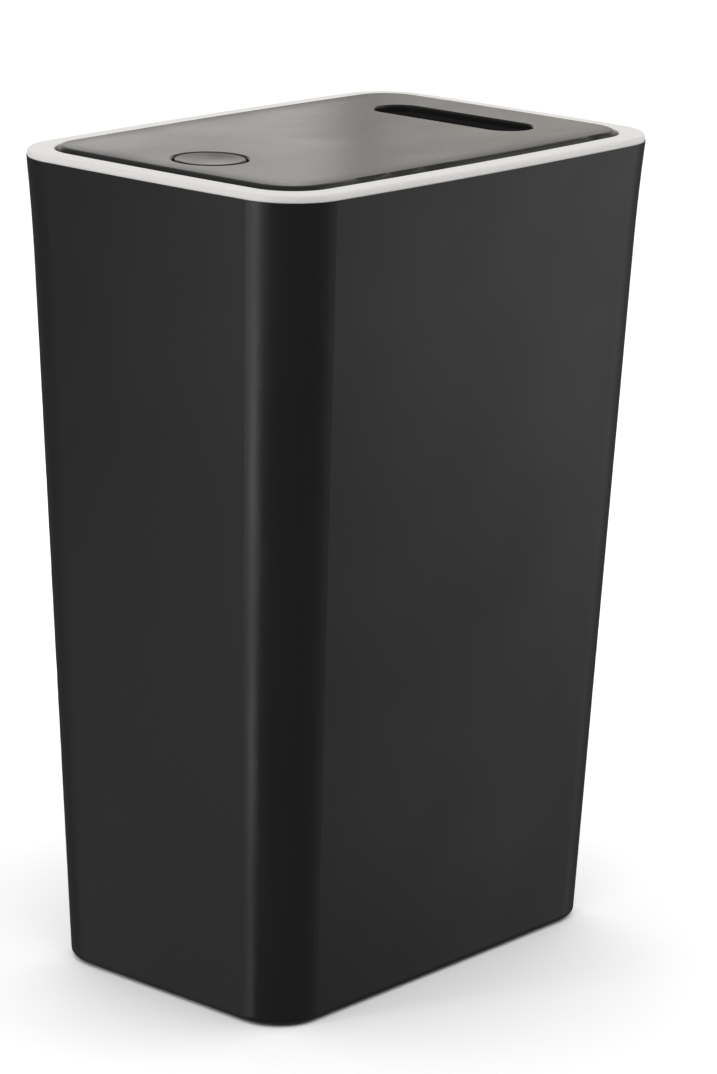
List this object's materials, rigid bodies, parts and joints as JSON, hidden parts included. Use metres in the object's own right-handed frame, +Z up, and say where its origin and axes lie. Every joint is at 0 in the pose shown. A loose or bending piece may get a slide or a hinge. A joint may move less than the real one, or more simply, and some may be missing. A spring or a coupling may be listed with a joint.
{
  "type": "push top bin",
  "caption": "Slim tapered countertop bin with a lift-off rim, an inset lid that tips open on side pins when its push button frees the latch, and a finger slot.",
  "frame": {"origin": "on the floor under the middle of the bin", "axes": "+Z up, -Y towards the push button, +Y towards the finger slot, +X to the right seen from the button end"},
  "size_m": [0.1436, 0.2054, 0.3036],
  "materials": {
    "body_plastic": "black moulded plastic, fine satin grain",
    "rim_plastic": "warm white moulded plastic, semi-gloss",
    "lid_plastic": "black moulded plastic, satin with a soft sheen",
    "liner_plastic": "black plastic, matt",
    "button_plastic": "black plastic, satin",
    "latch_acetal": "natural acetal",
    "bush_nylon": "natural nylon",
    "pad_rubber": "grey rubber",
    "steel_sheet": "plated sheet steel",
    "pin_steel": "ground steel",
    "screw_steel": "zinc plated",
    "spring_steel": "drawn spring wire"
  },
  "bodies": {
    "bin": {"bin_body": "body_plastic", "foot_pads": "pad_rubber"},
    "rim": {"rim_frame": "rim_plastic", "pivot_bushes": "bush_nylon", "strike_plate": "steel_sheet", "strike_screws": "screw_steel", "lid_bumpers": "pad_rubber", "return_spring_left": "spring_steel", "return_spring_right": "spring_steel"},
    "lid": {"lid_panel": "lid_plastic", "slot_liner": "liner_plastic", "pivot_pin_left": "pin_steel", "pivot_pin_right": "pin_steel", "latch_housing": "liner_plastic", "latch_cover": "liner_plastic", "housing_screws": "screw_steel", "button_spring": "spring_steel", "latch_spring": "spring_steel"},
    "button": {"button_cap": "button_plastic", "button_plunger": "latch_acetal"},
    "latch": {"latch_bolt": "latch_acetal"}
  },
  "joints": [
    {"name": "rim_lift", "type": "slide", "parent": "bin", "child": "rim", "axis": [0, 0, 1], "range_m": [0, 0.06]},
    {"name": "lid_hinge", "type": "hinge", "parent": "rim", "child": "lid", "pos_m": [0, 0.0711, 0.2966], "axis": [-1, 0, 0], "range_deg": [0, 95], "deforming": ["return_spring_left", "return_spring_right"]},
    {"name": "button_press", "type": "slide", "parent": "lid", "child": "button", "axis": [0, 0, -1], "range_m": [0, 0.0035], "stiffness_N_per_m": 300, "springref_m": -0.004, "deforming": ["button_spring"]},
    {"name": "latch_slide", "type": "slide", "parent": "lid", "child": "latch", "axis": [0, 1, 0], "range_m": [0, 0.0035], "stiffness_N_per_m": 300, "springref_m": -0.003, "deforming": ["latch_spring"]}
  ],
  "couplings": [
    {"joint": "latch_slide", "follows": "button_press", "ratio": 1}
  ]
}
